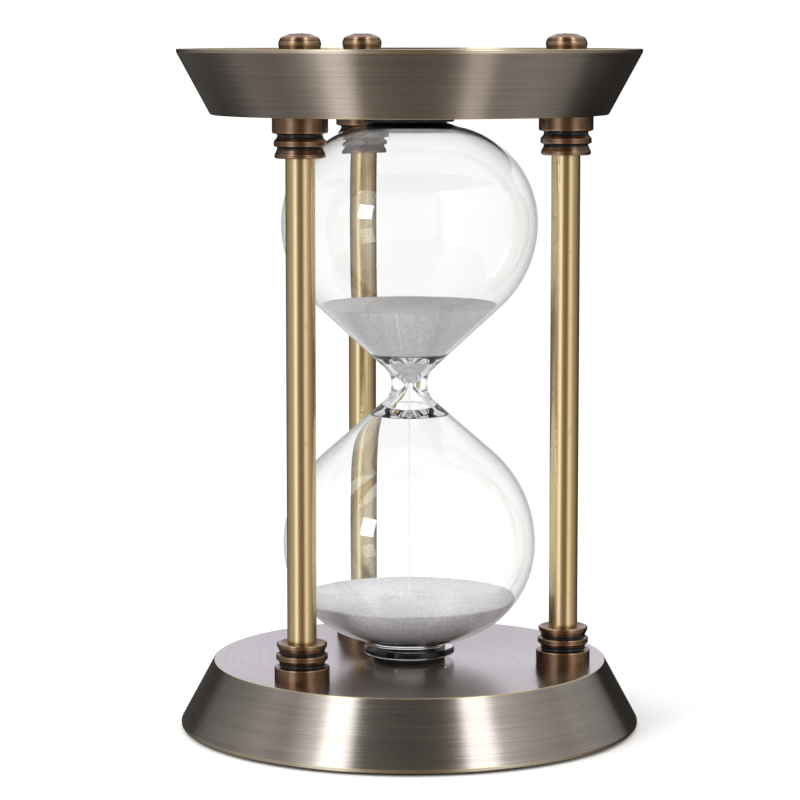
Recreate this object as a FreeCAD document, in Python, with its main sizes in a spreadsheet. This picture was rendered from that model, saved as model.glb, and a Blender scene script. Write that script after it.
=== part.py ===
import FreeCAD, Part
import math
import os
import Sketcher

# A three-pillar hourglass, in millimetres. +Z is up and the origin is the middle of the foot disc's
# underside, on the surface that the hourglass stands on.
# Each end plate is a spun conical shell, wide side outwards, closed by a flat cover. Three pillars join
# the plates: each stands in a turned collar at both ends, and a screw runs through the cover, a spacer
# sleeve, the shell and the collar's floor into the pillar's tapped end. The sealed glass stands between
# the plates on two rubber gaskets and holds the sand.

OUTPUT_FOLDER = "parts"
SIZES = [
    ("wide_radius", 80.0, "end plate's rim radius"),
    ("narrow_radius", 68.5, "end plate's radius at its inner face"),
    ("plate_height", 22.5, "end plate's height, rim to inner face"),
    ("frame_height", 235.0, "height between the two rims"),
    ("shell_wall", 1.5, "thickness of the spun shells and the cups"),
    ("edge_round", 0.7, "rounding of the shells' inner edge"),
    ("rim_edge", 1.2, "height of the rim's straight outer edge"),
    ("rim_round", 0.45, "rounding of the rim"),
    ("rim_band", 2.4, "width of the rolled rim"),
    ("ledge_width", 1.8, "ledge that carries the cover"),
    ("ledge_depth", 1.6, "height of the ledge's slanted underside"),
    ("cover_recess", 0.7, "how far the cover lies below the rim"),
    ("cover_thickness", 1.5, "cover sheet thickness"),
    ("cover_gap", 0.15, "gap round the cover and the foot disc"),
    ("foot_lift", 1.0, "how far the foot disc stands below the rim"),
    ("pillar_circle", 54.5, "radius of the circle that the pillars stand on"),
    ("pillar_radius", 4.95, "pillar radius"),
    ("pillar_chamfer", 0.4, "chamfer at the pillar's ends"),
    ("slip_gap", 0.05, "radial gap between a shaft and its hole"),
    ("tapped_depth", 18.0, "depth of the pillar's tapped ends"),
    ("drum_radius", 9.35, "collar's drum radius"),
    ("drum_height", 5.1, "collar's drum height"),
    ("groove_radius", 7.6, "radius at the bottom of the collar's grooves"),
    ("groove_slope", 0.5, "height of the slope into a groove"),
    ("groove_floor", 0.9, "height of a groove's straight floor"),
    ("cove_height", 1.5, "height of the hollow flare out of a groove"),
    ("cove_round", 2.0, "radius of the hollow flare"),
    ("ridge_radius", 8.75, "collar's middle ridge radius"),
    ("ridge_height", 1.4, "collar's middle ridge height"),
    ("lip_radius", 8.5, "collar's lip radius at its foot"),
    ("lip_crest", 7.7, "radius of the lip's crest"),
    ("lip_height", 1.2, "collar's lip height"),
    ("lip_round", 1.0, "rounding of the lip"),
    ("dish_depth", 1.0, "depth of the dish inside the lip"),
    ("collar_floor", 3.4, "thickness of the collar's floor"),
    ("screw_radius", 2.95, "screw shank radius"),
    ("screw_clearance", 3.25, "clearance hole radius for a screw"),
    ("screw_chamfer", 0.6, "chamfer at the screw's tip"),
    ("top_screw_length", 40.0, "top screw length under the head"),
    ("base_screw_length", 35.0, "base screw length under the head"),
    ("head_radius", 7.0, "pan head radius"),
    ("head_foot", 6.4, "pan head radius at its seat"),
    ("top_head_height", 5.9, "head height of a top screw"),
    ("base_head_height", 4.8, "head height of a base screw"),
    ("head_belly_share", 0.45, "height of the head's widest ring over the head height"),
    ("head_belly_round", 2.2, "rounding below the widest ring"),
    ("head_shoulder", 4.0, "radius where the crown starts"),
    ("head_shoulder_round", 3.2, "rounding between widest ring and crown"),
    ("crown_rise", 0.4, "rise of the slightly domed crown"),
    ("crown_round", 20.6, "radius of the domed crown"),
    ("recess_span", 3.3, "half the width across the cross recess"),
    ("recess_wing", 0.62, "half the width of one wing of the recess"),
    ("recess_depth", 2.6, "depth of the cross recess"),
    ("spacer_radius", 5.5, "spacer sleeve outer radius"),
    ("cup_radius", 8.2, "inner radius of the cup round a base screw's head"),
    ("cup_depth", 4.8, "depth of that cup"),
    ("lower_gasket_radius", 12.5, "radius of the rubber gasket under the glass"),
    ("lower_gasket_thickness", 1.8, "thickness of that gasket"),
    ("upper_gasket_radius", 15.5, "radius of the rubber gasket above the glass"),
    ("upper_gasket_thickness", 2.5, "thickness of that gasket"),
    ("rubber_round", 0.6, "rounding of the gaskets and the foot disc"),
    ("waist_lift", 1.5, "height of the glass's waist above the middle of the frame"),
    ("bulb_rise", 56.0, "distance of a bulb's widest ring from the waist"),
    ("upper_bulb_round", 39.0, "radius of the upper bulb's arc towards the waist"),
    ("upper_bulb_offset", 5.4, "distance of that arc's centre from the axis"),
    ("upper_crown_round", 33.9, "radius of the upper bulb's arc towards its crown"),
    ("lower_bulb_round", 42.6, "radius of the lower bulb's arc towards the waist"),
    ("lower_bulb_offset", 1.4, "distance of that arc's centre from the axis"),
    ("lower_crown_round", 34.4, "radius of the lower bulb's arc towards its floor"),
    ("glass_wall", 1.0, "glass wall thickness in the bulbs"),
    ("waist_radius", 6.2, "outer radius of the waist"),
    ("waist_round", 8.0, "radius of the waist's hollow"),
    ("throat_radius", 1.2, "radius of the hole that the sand falls through"),
    ("throat_land", 0.6, "half the height of that hole's straight part"),
    ("funnel_radius", 7.3, "radius of the funnel's mouth"),
    ("funnel_height", 9.2, "height of the funnel's mouth above the waist"),
    ("shelf_radius", 13.0, "radius where the shelf round that mouth meets the thin wall"),
    ("lower_foot_radius", 15.8, "radius of the glass disc that the glass stands on"),
    ("lower_foot_height", 2.4, "thickness of that disc"),
    ("foot_neck_radius", 12.5, "radius of the glass between that disc and the bulb"),
    ("upper_neck_radius", 16.5, "radius where the upper bulb's crown turns up to its flat"),
    ("upper_foot_radius", 12.0, "radius of the flat that the upper gasket presses on"),
    ("glass_foot_round", 0.5, "rounding of both feet"),
    ("sand_gap", 0.1, "gap between the sand solids and the glass"),
    ("upper_sand_level", 28.0, "upper sand's surface above the waist"),
    ("lower_sand_level", 74.5, "lower sand's surface below the waist"),
    ("mound_radius", 8.0, "radius of the small mound on the lower sand"),
    ("mound_height", 1.5, "height of the small mound"),
    ("stream_radius", 0.5, "radius of the falling stream of sand"),
]


class Size:
    """A length that knows its value and the expression that gives it from the sheet."""

    def __init__(self, value, text):
        self.value = value
        self.text = text

    def joined(self, sign, other, value):
        return Size(value, "(" + self.text + sign + other.text + ")")

    def __add__(self, other):
        other = as_size(other)
        return self.joined(" + ", other, self.value + other.value)

    def __sub__(self, other):
        other = as_size(other)
        return self.joined(" - ", other, self.value - other.value)

    def __mul__(self, other):
        other = as_size(other)
        return self.joined(" * ", other, self.value * other.value)

    def __truediv__(self, other):
        other = as_size(other)
        return self.joined(" / ", other, self.value / other.value)

    def __neg__(self):
        return Size(-self.value, "(0 - " + self.text + ")")

    def root(self):
        return Size(self.value ** 0.5, "sqrt(" + self.text + ")")


def as_size(thing):
    """A plain number as a Size, and a Size as itself."""
    if isinstance(thing, Size):
        return thing
    return Size(float(thing), repr(float(thing)))


def make_sheet(document):
    """The spreadsheet of driving dimensions, and the same dimensions as Sizes by name."""
    sheet = document.addObject("Spreadsheet::Sheet", "Sizes")
    sizes = {}
    for row, (name, value, meaning) in enumerate(SIZES, start=1):
        sheet.set("A" + str(row), meaning)
        sheet.set("B" + str(row), str(value))
        sheet.setAlias("B" + str(row), name)
        sizes[name] = Size(value, "Sizes." + name)
    document.recompute()
    return sizes


doc = FreeCAD.newDocument("hourglass")
size = make_sheet(doc)
ZERO = as_size(0)
TURNED_OVER = FreeCAD.Rotation(FreeCAD.Vector(0, 1, 0), 180)
UPRIGHT = FreeCAD.Rotation()

# Heights of the main levels above the floor.
base_face = size["foot_lift"] + size["plate_height"]
top_face = size["foot_lift"] + size["frame_height"] - size["plate_height"]
waist_level = size["foot_lift"] + size["frame_height"] / 2 + size["waist_lift"]
cover_level = size["plate_height"] - size["cover_recess"] - size["cover_thickness"]

# The three pillar places: one at the rear, two at the front.
SIDE_SHARE = 0.75 ** 0.5
PLACES = {
    "rear": (ZERO, size["pillar_circle"]),
    "left": (-(size["pillar_circle"] * SIDE_SHARE), -(size["pillar_circle"] / 2)),
    "right": (size["pillar_circle"] * SIDE_SHARE, -(size["pillar_circle"] / 2)),
}


def new_body(name):
    """An empty body whose label names its file."""
    body = doc.addObject("PartDesign::Body", name)
    body.Label = name
    return body


def origin_plane(body, role):
    """One of the body's own origin planes."""
    for feature in body.Origin.OriginFeatures:
        if feature.Role == role:
            return feature
    raise ValueError("no plane " + role)


def new_sketch(body, role, height=ZERO):
    """An empty sketch on an origin plane, raised by height."""
    sketch = body.newObject("Sketcher::SketchObject", body.Name + "_sketch")
    sketch.AttachmentSupport = [(origin_plane(body, role), "")]
    sketch.MapMode = "FlatFace"
    if height.value:
        sketch.setExpression("AttachmentOffset.Base.z", height.text)
    return sketch


def measure(sketch, kind, first, first_point, second, second_point, length):
    """A horizontal or vertical distance in a sketch, driven by the sheet."""
    constraint = Sketcher.Constraint(kind, first, first_point, second, second_point, length.value)
    index = sketch.addConstraint(constraint)
    sketch.setExpression("Constraints[" + str(index) + "]", length.text)


def fix_point(sketch, element, point, across, up):
    """Holds a point of a sketch at a distance across and up from the sketch's origin."""
    if across.value:
        measure(sketch, "DistanceX", -1, 1, element, point, across)
    else:
        sketch.addConstraint(Sketcher.Constraint("PointOnObject", element, point, -2))
    if up.value:
        measure(sketch, "DistanceY", -1, 1, element, point, up)
    else:
        sketch.addConstraint(Sketcher.Constraint("PointOnObject", element, point, -1))


def hold_radius(sketch, element, radius):
    """Drives the radius of an arc or a circle from the sheet."""
    index = sketch.addConstraint(Sketcher.Constraint("Radius", element, radius.value))
    sketch.setExpression("Constraints[" + str(index) + "]", radius.text)


def bent_edge(start, end, radius, turns_left):
    """The arc from start to end, and which of its own ends the path enters and leaves by."""
    middle = (start + end) / 2
    half = (end - start) / 2
    sideways = FreeCAD.Vector(-half.y, half.x, 0)
    sideways.normalize()
    reach = (radius ** 2 - half.Length ** 2) ** 0.5
    centre = middle + sideways * (reach if turns_left else -reach)
    first, last = (start, end) if turns_left else (end, start)
    first_angle = math.atan2(first.y - centre.y, first.x - centre.x)
    last_angle = math.atan2(last.y - centre.y, last.x - centre.x)
    if last_angle < first_angle:
        last_angle += 2 * math.pi
    circle = Part.Circle(centre, FreeCAD.Vector(0, 0, 1), radius)
    arc = Part.ArcOfCircle(circle, first_angle, last_angle)
    enters = 1 if turns_left else 2
    return arc, enters, 3 - enters


def closed_outline(sketch, corners):
    """Draws a closed outline. A corner is (across, up), or (across, up, radius, "left" or "right")
    where an arc that turns that way leads to the next corner."""
    ends = []
    for number, corner in enumerate(corners):
        following = corners[(number + 1) % len(corners)]
        start = FreeCAD.Vector(corner[0].value, corner[1].value, 0)
        end = FreeCAD.Vector(following[0].value, following[1].value, 0)
        if len(corner) == 2:
            element = sketch.addGeometry(Part.LineSegment(start, end))
            ends.append((element, 1, 2))
            continue
        arc, enters, leaves = bent_edge(start, end, corner[2].value, corner[3] == "left")
        element = sketch.addGeometry(arc)
        hold_radius(sketch, element, corner[2])
        ends.append((element, enters, leaves))
    for number, (element, enters, leaves) in enumerate(ends):
        following, following_enters, unused = ends[(number + 1) % len(ends)]
        joint = Sketcher.Constraint("Coincident", element, leaves, following, following_enters)
        sketch.addConstraint(joint)
    for (element, enters, leaves), corner in zip(ends, corners):
        fix_point(sketch, element, enters, corner[0], corner[1])


def turned(name, corners):
    """A body turned about its own upright axis from an outline of (radius, height) corners."""
    body = new_body(name)
    sketch = new_sketch(body, "XZ_Plane")
    closed_outline(sketch, corners)
    turning = body.newObject("PartDesign::Revolution", name + "_turning")
    turning.Profile = sketch
    turning.ReferenceAxis = (sketch, ["V_Axis"])
    turning.Angle = 360
    sketch.Visibility = False
    doc.recompute()
    return body


def rounded(body, rings, radius):
    """Rounds the circular edges that have these radii and heights."""
    base = body.Tip
    names = []
    for number, edge in enumerate(base.Shape.Edges, start=1):
        if not isinstance(edge.Curve, Part.Circle):
            continue
        for across, up in rings:
            same_radius = abs(edge.Curve.Radius - across.value) < 0.01
            if same_radius and abs(edge.Curve.Center.z - up.value) < 0.01:
                names.append("Edge" + str(number))
    if len(names) != len(rings):
        raise ValueError(body.Name + " has no such edge to round")
    fillet = body.newObject("PartDesign::Fillet", body.Name + "_rounding")
    fillet.Base = (base, names)
    fillet.Radius = radius.value
    fillet.setExpression("Radius", radius.text)
    doc.recompute()


def circles_sketch(body, places, radius, height=ZERO):
    """A sketch of equal circles at the given places."""
    sketch = new_sketch(body, "XY_Plane", height)
    for across, up in places:
        middle = FreeCAD.Vector(across.value, up.value, 0)
        circle = Part.Circle(middle, FreeCAD.Vector(0, 0, 1), radius.value)
        element = sketch.addGeometry(circle)
        fix_point(sketch, element, 3, across, up)
        hold_radius(sketch, element, radius)
    return sketch


def extruded(body, kind, sketch, length, reverse=False):
    """Pads or pockets a sketch, and checks that the volume changed the right way."""
    before = body.Shape.Volume
    feature = body.newObject("PartDesign::" + kind, body.Name + "_" + kind.lower())
    feature.Profile = sketch
    feature.Reversed = reverse
    if length is None:
        feature.Type = "ThroughAll"
        feature.Midplane = True
    else:
        feature.Length = length.value
        feature.setExpression("Length", length.text)
    sketch.Visibility = False
    doc.recompute()
    change = body.Shape.Volume - before
    if (kind == "Pad") != (change > 0) or change == 0:
        raise ValueError(body.Name + " was not changed by its " + kind)


def put(body, across, along, up, turn=UPRIGHT):
    """Places a body, with its place driven by the sheet."""
    body.Placement = FreeCAD.Placement(FreeCAD.Vector(across.value, along.value, up.value), turn)
    body.setExpression("Placement.Base.x", across.text)
    body.setExpression("Placement.Base.y", along.text)
    body.setExpression("Placement.Base.z", up.text)
    return body


def shell(name):
    """Spun conical shell: inner face at height 0, open rim upwards, a ledge inside for the cover."""
    cone_height = size["plate_height"] - size["rim_edge"]
    slope = (size["wide_radius"] - size["narrow_radius"]) / cone_height
    wall_across = size["shell_wall"] * (slope * slope + 1).root()
    inside_foot = size["narrow_radius"] - wall_across
    rim_inside = size["wide_radius"] - size["rim_band"]
    ledge_bottom = cover_level - size["ledge_depth"]
    body = turned(name, [
        (ZERO, ZERO),
        (size["narrow_radius"], ZERO),
        (size["wide_radius"], cone_height),
        (size["wide_radius"], size["plate_height"]),
        (rim_inside, size["plate_height"]),
        (rim_inside, cover_level),
        (rim_inside - size["ledge_width"], cover_level),
        (inside_foot + slope * ledge_bottom, ledge_bottom),
        (inside_foot + slope * size["shell_wall"], size["shell_wall"]),
        (ZERO, size["shell_wall"]),
    ])
    rounded(body, [(size["narrow_radius"], ZERO)], size["edge_round"])
    rounded(body, [(size["wide_radius"], size["plate_height"])], size["rim_round"])
    holes = circles_sketch(body, PLACES.values(), size["screw_clearance"])
    extruded(body, "Pocket", holes, None)
    return body


def cover(name, with_cups):
    """Flat disc with three screw holes. With cups, each hole is at the bottom of a pressed cup that
    takes the whole screw head."""
    radius = size["wide_radius"] - size["rim_band"] - size["cover_gap"]
    body = turned(name, [
        (ZERO, ZERO),
        (radius, ZERO),
        (radius, size["cover_thickness"]),
        (ZERO, size["cover_thickness"]),
    ])
    if with_cups:
        cup_outside = size["cup_radius"] + size["shell_wall"]
        outsides = circles_sketch(body, PLACES.values(), cup_outside)
        extruded(body, "Pad", outsides, size["cup_depth"], reverse=True)
        insides = circles_sketch(body, PLACES.values(), size["cup_radius"], size["cover_thickness"])
        extruded(body, "Pocket", insides, size["cup_depth"])
    holes = circles_sketch(body, PLACES.values(), size["screw_clearance"])
    extruded(body, "Pocket", holes, None)
    return body


def disc(name, radius, thickness):
    """Plain rubber disc with rounded edges."""
    body = turned(name, [(ZERO, ZERO), (radius, ZERO), (radius, thickness), (ZERO, thickness)])
    rounded(body, [(radius, ZERO), (radius, thickness)], size["rubber_round"])
    return body


def pillar(name):
    """Round rod with a tapped hole in each end."""
    length = size["frame_height"] - size["plate_height"] * 2 - size["collar_floor"] * 2
    hole = size["screw_radius"] + size["slip_gap"]
    shoulder = size["pillar_radius"] - size["pillar_chamfer"]
    return turned(name, [
        (ZERO, size["tapped_depth"]),
        (hole, size["tapped_depth"]),
        (hole, ZERO),
        (shoulder, ZERO),
        (size["pillar_radius"], size["pillar_chamfer"]),
        (size["pillar_radius"], length - size["pillar_chamfer"]),
        (shoulder, length),
        (hole, length),
        (hole, length - size["tapped_depth"]),
        (ZERO, length - size["tapped_depth"]),
    ])


def collar(name):
    """Turned collar, its drum at height 0 against the plate: drum, groove, ridge, groove, and a lip
    with a shallow dish round the pillar's socket."""
    groove_start = size["drum_height"] + size["groove_slope"]
    cove_start = groove_start + size["groove_floor"]
    ridge_start = cove_start + size["cove_height"]
    ridge_end = ridge_start + size["ridge_height"]
    second_groove = ridge_end + size["groove_slope"]
    second_cove = second_groove + size["groove_floor"] / 2
    lip_start = second_cove + size["cove_height"] + size["groove_slope"]
    lip_end = lip_start + size["lip_height"]
    socket = size["pillar_radius"] + size["slip_gap"]
    body = turned(name, [
        (size["screw_clearance"], ZERO),
        (size["drum_radius"], ZERO),
        (size["drum_radius"], size["drum_height"]),
        (size["groove_radius"], groove_start),
        (size["groove_radius"], cove_start, size["cove_round"], "right"),
        (size["ridge_radius"], ridge_start),
        (size["ridge_radius"], ridge_end),
        (size["groove_radius"], second_groove),
        (size["groove_radius"], second_cove, size["cove_round"], "right"),
        (size["lip_radius"], lip_start, size["lip_round"], "left"),
        (size["lip_crest"], lip_end),
        (socket, lip_end - size["dish_depth"]),
        (socket, size["collar_floor"]),
        (size["screw_clearance"], size["collar_floor"]),
    ])
    return body


def pan_screw(name, length, head_height):
    """Pan head screw standing on its tip, with a cross recess in the head."""
    top = length + head_height
    belly = length + head_height * size["head_belly_share"]
    body = turned(name, [
        (ZERO, ZERO),
        (size["screw_radius"] - size["screw_chamfer"], ZERO),
        (size["screw_radius"], size["screw_chamfer"]),
        (size["screw_radius"], length),
        (size["head_foot"], length, size["head_belly_round"], "left"),
        (size["head_radius"], belly, size["head_shoulder_round"], "left"),
        (size["head_shoulder"], top - size["crown_rise"], size["crown_round"], "left"),
        (ZERO, top),
    ])
    sketch = new_sketch(body, "XY_Plane", top)
    wing = size["recess_wing"]
    span = size["recess_span"]
    quarter = [(span, -wing), (span, wing), (wing, wing)]
    corners = []
    for unused in range(4):
        corners.extend(quarter)
        quarter = [(-along, across) for across, along in quarter]
    closed_outline(sketch, corners)
    extruded(body, "Pocket", sketch, size["recess_depth"])
    return body


def sleeve(name, length):
    """Spacer sleeve round a screw."""
    return turned(name, [
        (size["screw_clearance"], ZERO),
        (size["spacer_radius"], ZERO),
        (size["spacer_radius"], length),
        (size["screw_clearance"], length),
    ])


class Bulb:
    """One bulb's section, set back from the outside of the glass by a margin. It has a straight flank
    from the neck, an arc from there to the widest ring and a tighter arc to the crown. Lengths along
    the axis are distances from the waist."""

    def __init__(self, side, margin):
        self.middle = size[side + "_bulb_offset"]
        self.round = size[side + "_bulb_round"] - margin
        self.crown_round = size[side + "_crown_round"] - margin
        self.crown_middle = self.middle + self.round - self.crown_round
        self.rise = size["bulb_rise"]
        self.crown = self.rise + self.crown_round
        self.widest = self.middle + self.round
        self.neck, self.shoulder = self.flank_ends(size["waist_round"] + margin)

    def flank_ends(self, neck_round):
        """Where the straight flank touches the hollow round at the neck and the bulb's arc."""
        neck_middle = size["waist_radius"] + size["waist_round"]
        across = self.middle - neck_middle
        gap_squared = across * across + self.rise * self.rise
        rounds = neck_round + self.round
        flank = (gap_squared - rounds * rounds).root()
        outward = (across * flank + self.rise * rounds) / gap_squared
        upward = (self.rise * flank - across * rounds) / gap_squared
        at_neck = (neck_middle - neck_round * upward, neck_round * outward)
        at_bulb = (self.middle + self.round * upward, self.rise - self.round * outward)
        return at_neck, at_bulb

    def flank_height(self, radius):
        """How far from the waist the flank has this radius."""
        climb = (self.shoulder[1] - self.neck[1]) / (self.shoulder[0] - self.neck[0])
        return self.neck[1] + (radius - self.neck[0]) * climb

    def flank_radius(self, height):
        """The flank's radius this far from the waist."""
        spread = (self.shoulder[0] - self.neck[0]) / (self.shoulder[1] - self.neck[1])
        return self.neck[0] + (height - self.neck[1]) * spread

    def crown_height(self, radius):
        """How far from the waist the crown's arc has this radius."""
        across = radius - self.crown_middle
        return self.rise + (self.crown_round * self.crown_round - across * across).root()

    def crown_radius(self, height):
        """The crown's arc's radius this far from the waist."""
        along = height - self.rise
        return self.crown_middle + (self.crown_round * self.crown_round - along * along).root()


def glass_vessel():
    """Two blown bulbs joined by a thick waist with a funnel on either side, closed at both ends. The
    outline runs up the outside and down the inside, and its height is measured from the lower foot."""
    half = size["frame_height"] / 2 - size["plate_height"]
    waist = half + size["waist_lift"] - size["lower_gasket_thickness"]
    top = half * 2 - size["lower_gasket_thickness"] - size["upper_gasket_thickness"]
    low, high = Bulb("lower", ZERO), Bulb("upper", ZERO)
    foot_neck = size["foot_neck_radius"]
    low_inside, high_inside = Bulb("lower", size["glass_wall"]), Bulb("upper", size["glass_wall"])
    body = turned("glass_vessel", [
        (ZERO, ZERO),
        (size["lower_foot_radius"], ZERO),
        (size["lower_foot_radius"], size["lower_foot_height"]),
        (foot_neck, size["lower_foot_height"]),
        (foot_neck, waist - low.crown_height(foot_neck), low.crown_round, "left"),
        (low.widest, waist - low.rise, low.round, "left"),
        (low.shoulder[0], waist - low.shoulder[1]),
        (low.neck[0], waist - low.neck[1], size["waist_round"], "right"),
        (high.neck[0], waist + high.neck[1]),
        (high.shoulder[0], waist + high.shoulder[1], high.round, "left"),
        (high.widest, waist + high.rise, high.crown_round, "left"),
        (size["upper_neck_radius"], waist + high.crown_height(size["upper_neck_radius"])),
        (size["upper_foot_radius"], top),
        (ZERO, top),
        (ZERO, waist + high_inside.crown),
        (high_inside.crown_middle, waist + high_inside.crown, high_inside.crown_round, "right"),
        (high_inside.widest, waist + high_inside.rise, high_inside.round, "right"),
        (high_inside.shoulder[0], waist + high_inside.shoulder[1]),
        (size["shelf_radius"], waist + high_inside.flank_height(size["shelf_radius"])),
        (size["funnel_radius"], waist + size["funnel_height"]),
        (size["throat_radius"], waist + size["throat_land"]),
        (size["throat_radius"], waist - size["throat_land"]),
        (size["funnel_radius"], waist - size["funnel_height"]),
        (size["shelf_radius"], waist - low_inside.flank_height(size["shelf_radius"])),
        (low_inside.shoulder[0], waist - low_inside.shoulder[1], low_inside.round, "right"),
        (low_inside.widest, waist - low_inside.rise, low_inside.crown_round, "right"),
        (low_inside.crown_middle, waist - low_inside.crown),
        (ZERO, waist - low_inside.crown),
    ])
    foot_edges = [
        (size["lower_foot_radius"], ZERO),
        (size["lower_foot_radius"], size["lower_foot_height"]),
        (size["upper_foot_radius"], top),
    ]
    rounded(body, foot_edges, size["glass_foot_round"])
    return put(body, ZERO, ZERO, base_face + size["lower_gasket_thickness"])


def upper_sand():
    """Sand that fills the upper funnel from the throat to a level surface, measured from the waist."""
    gap = size["sand_gap"]
    inside = Bulb("upper", size["glass_wall"] + gap)
    body = turned("upper_sand", [
        (ZERO, size["throat_land"]),
        (size["throat_radius"] - gap, size["throat_land"]),
        (size["funnel_radius"] - gap, size["funnel_height"] + gap),
        (size["shelf_radius"], inside.flank_height(size["shelf_radius"])),
        (inside.flank_radius(size["upper_sand_level"]), size["upper_sand_level"]),
        (ZERO, size["upper_sand_level"]),
    ])
    return put(body, ZERO, ZERO, waist_level)


def lower_sand():
    """Sand heaped in the lower bulb, measured from the inside floor, with a small mound on top."""
    inside = Bulb("lower", size["glass_wall"] + size["sand_gap"])
    level = inside.crown - size["lower_sand_level"]
    body = turned("lower_sand", [
        (ZERO, ZERO),
        (inside.crown_middle, ZERO, inside.crown_round, "left"),
        (inside.crown_radius(size["lower_sand_level"]), level),
        (size["mound_radius"], level),
        (ZERO, level + size["mound_height"]),
    ])
    return put(body, ZERO, ZERO, waist_level - inside.crown)


def sand_stream():
    """The thin stream of sand between the throat and the mound."""
    mound_top = size["lower_sand_level"] - size["mound_height"]
    length = mound_top + size["throat_land"] - size["sand_gap"] * 2
    body = turned("sand_stream", [
        (ZERO, ZERO),
        (size["stream_radius"], ZERO),
        (size["stream_radius"], length),
        (ZERO, length),
    ])
    return put(body, ZERO, ZERO, waist_level - mound_top + size["sand_gap"])


def end_plates():
    """Both shells with their covers, and the foot disc under the base."""
    base_cover_level = base_face - cover_level
    disc_radius = size["wide_radius"] - size["rim_band"] - size["cover_gap"]
    disc_thickness = size["cover_recess"] + size["foot_lift"]
    return [
        put(shell("top_shell"), ZERO, ZERO, top_face),
        put(cover("top_cover", with_cups=False), ZERO, ZERO, top_face + cover_level),
        put(shell("base_shell"), ZERO, ZERO, base_face, TURNED_OVER),
        put(cover("base_cover", with_cups=True), ZERO, ZERO, base_cover_level, TURNED_OVER),
        put(disc("foot_disc", disc_radius, disc_thickness), ZERO, ZERO, ZERO),
    ]


def pillar_set(place, across, along):
    """One pillar with its collars, screws and spacer sleeves."""
    top_seat = top_face + cover_level + size["cover_thickness"]
    base_seat = base_face - cover_level + size["cup_depth"] - size["cover_thickness"]
    top_sleeve_length = cover_level - size["shell_wall"]
    base_sleeve_length = top_sleeve_length - size["cup_depth"]
    top_screw = pan_screw(place + "_top_screw", size["top_screw_length"], size["top_head_height"])
    base_screw = pan_screw(place + "_base_screw", size["base_screw_length"], size["base_head_height"])
    top_sleeve = sleeve(place + "_top_spacer", top_sleeve_length)
    base_sleeve = sleeve(place + "_base_spacer", base_sleeve_length)
    return [
        put(pillar(place + "_pillar"), across, along, base_face + size["collar_floor"]),
        put(collar(place + "_lower_collar"), across, along, base_face),
        put(collar(place + "_upper_collar"), across, along, top_face, TURNED_OVER),
        put(top_screw, across, along, top_seat - size["top_screw_length"]),
        put(base_screw, across, along, base_seat + size["base_screw_length"], TURNED_OVER),
        put(top_sleeve, across, along, top_face + size["shell_wall"]),
        put(base_sleeve, across, along, base_face - size["shell_wall"] - base_sleeve_length),
    ]


def glass_and_sand():
    """The glass, its two rubber gaskets and its sand."""
    below, above = size["lower_gasket_thickness"], size["upper_gasket_thickness"]
    return [
        put(disc("lower_gasket", size["lower_gasket_radius"], below), ZERO, ZERO, base_face),
        put(disc("upper_gasket", size["upper_gasket_radius"], above), ZERO, ZERO, top_face - above),
        glass_vessel(),
        upper_sand(),
        lower_sand(),
        sand_stream(),
    ]


def check_and_export(pieces):
    """Stops if any object failed or any piece isn't one valid solid, then writes the files."""
    doc.recompute()
    for item in doc.Objects:
        if "Invalid" in item.State or "Error" in item.State:
            raise ValueError(item.Name + " failed: " + str(item.State))
    for piece in pieces:
        if piece.Shape.isNull() or not piece.Shape.isValid() or len(piece.Shape.Solids) != 1:
            raise ValueError(piece.Name + " is not one valid solid")
    os.makedirs(OUTPUT_FOLDER, exist_ok=True)
    for piece in pieces:
        piece.Shape.exportStep(os.path.join(OUTPUT_FOLDER, piece.Label + ".step"))
        box = piece.Shape.BoundBox
        print(piece.Label, round(piece.Shape.Volume), round(box.ZMin, 2), round(box.ZMax, 2))


all_pieces = end_plates()
for place_name, (place_across, place_along) in PLACES.items():
    all_pieces.extend(pillar_set(place_name, place_across, place_along))
all_pieces.extend(glass_and_sand())
check_and_export(all_pieces)
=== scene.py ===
import math

import bpy
import numpy as np
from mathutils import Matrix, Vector


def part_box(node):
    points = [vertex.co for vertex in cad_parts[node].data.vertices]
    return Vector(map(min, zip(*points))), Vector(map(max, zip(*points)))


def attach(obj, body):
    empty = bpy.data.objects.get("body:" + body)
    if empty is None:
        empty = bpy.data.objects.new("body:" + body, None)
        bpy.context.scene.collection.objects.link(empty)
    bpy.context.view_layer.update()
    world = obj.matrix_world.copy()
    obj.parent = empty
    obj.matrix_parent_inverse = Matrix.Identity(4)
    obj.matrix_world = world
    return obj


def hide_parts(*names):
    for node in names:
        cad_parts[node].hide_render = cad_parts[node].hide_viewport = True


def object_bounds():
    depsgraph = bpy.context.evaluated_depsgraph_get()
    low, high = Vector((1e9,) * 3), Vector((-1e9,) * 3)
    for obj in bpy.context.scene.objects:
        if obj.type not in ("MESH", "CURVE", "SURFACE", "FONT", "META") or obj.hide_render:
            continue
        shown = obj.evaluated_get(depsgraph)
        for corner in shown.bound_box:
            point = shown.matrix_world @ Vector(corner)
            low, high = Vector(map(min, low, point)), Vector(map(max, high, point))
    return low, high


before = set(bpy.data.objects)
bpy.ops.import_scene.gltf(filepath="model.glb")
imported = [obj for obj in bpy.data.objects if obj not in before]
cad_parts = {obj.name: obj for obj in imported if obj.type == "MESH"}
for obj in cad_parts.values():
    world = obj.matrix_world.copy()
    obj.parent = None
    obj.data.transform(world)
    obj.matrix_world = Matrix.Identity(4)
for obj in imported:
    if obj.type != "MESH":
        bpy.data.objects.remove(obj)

bl_info = {
    "name": "Three-pillar hourglass",
    "version": (1, 0, 0),
    "blender": (4, 5, 0),
    "location": "3D View > Sidebar > Hourglass",
    "description": "Builds the turned plates, pillars, collars, screws, blown glass and sand of an hourglass",
    "category": "Add Mesh",
}

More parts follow.
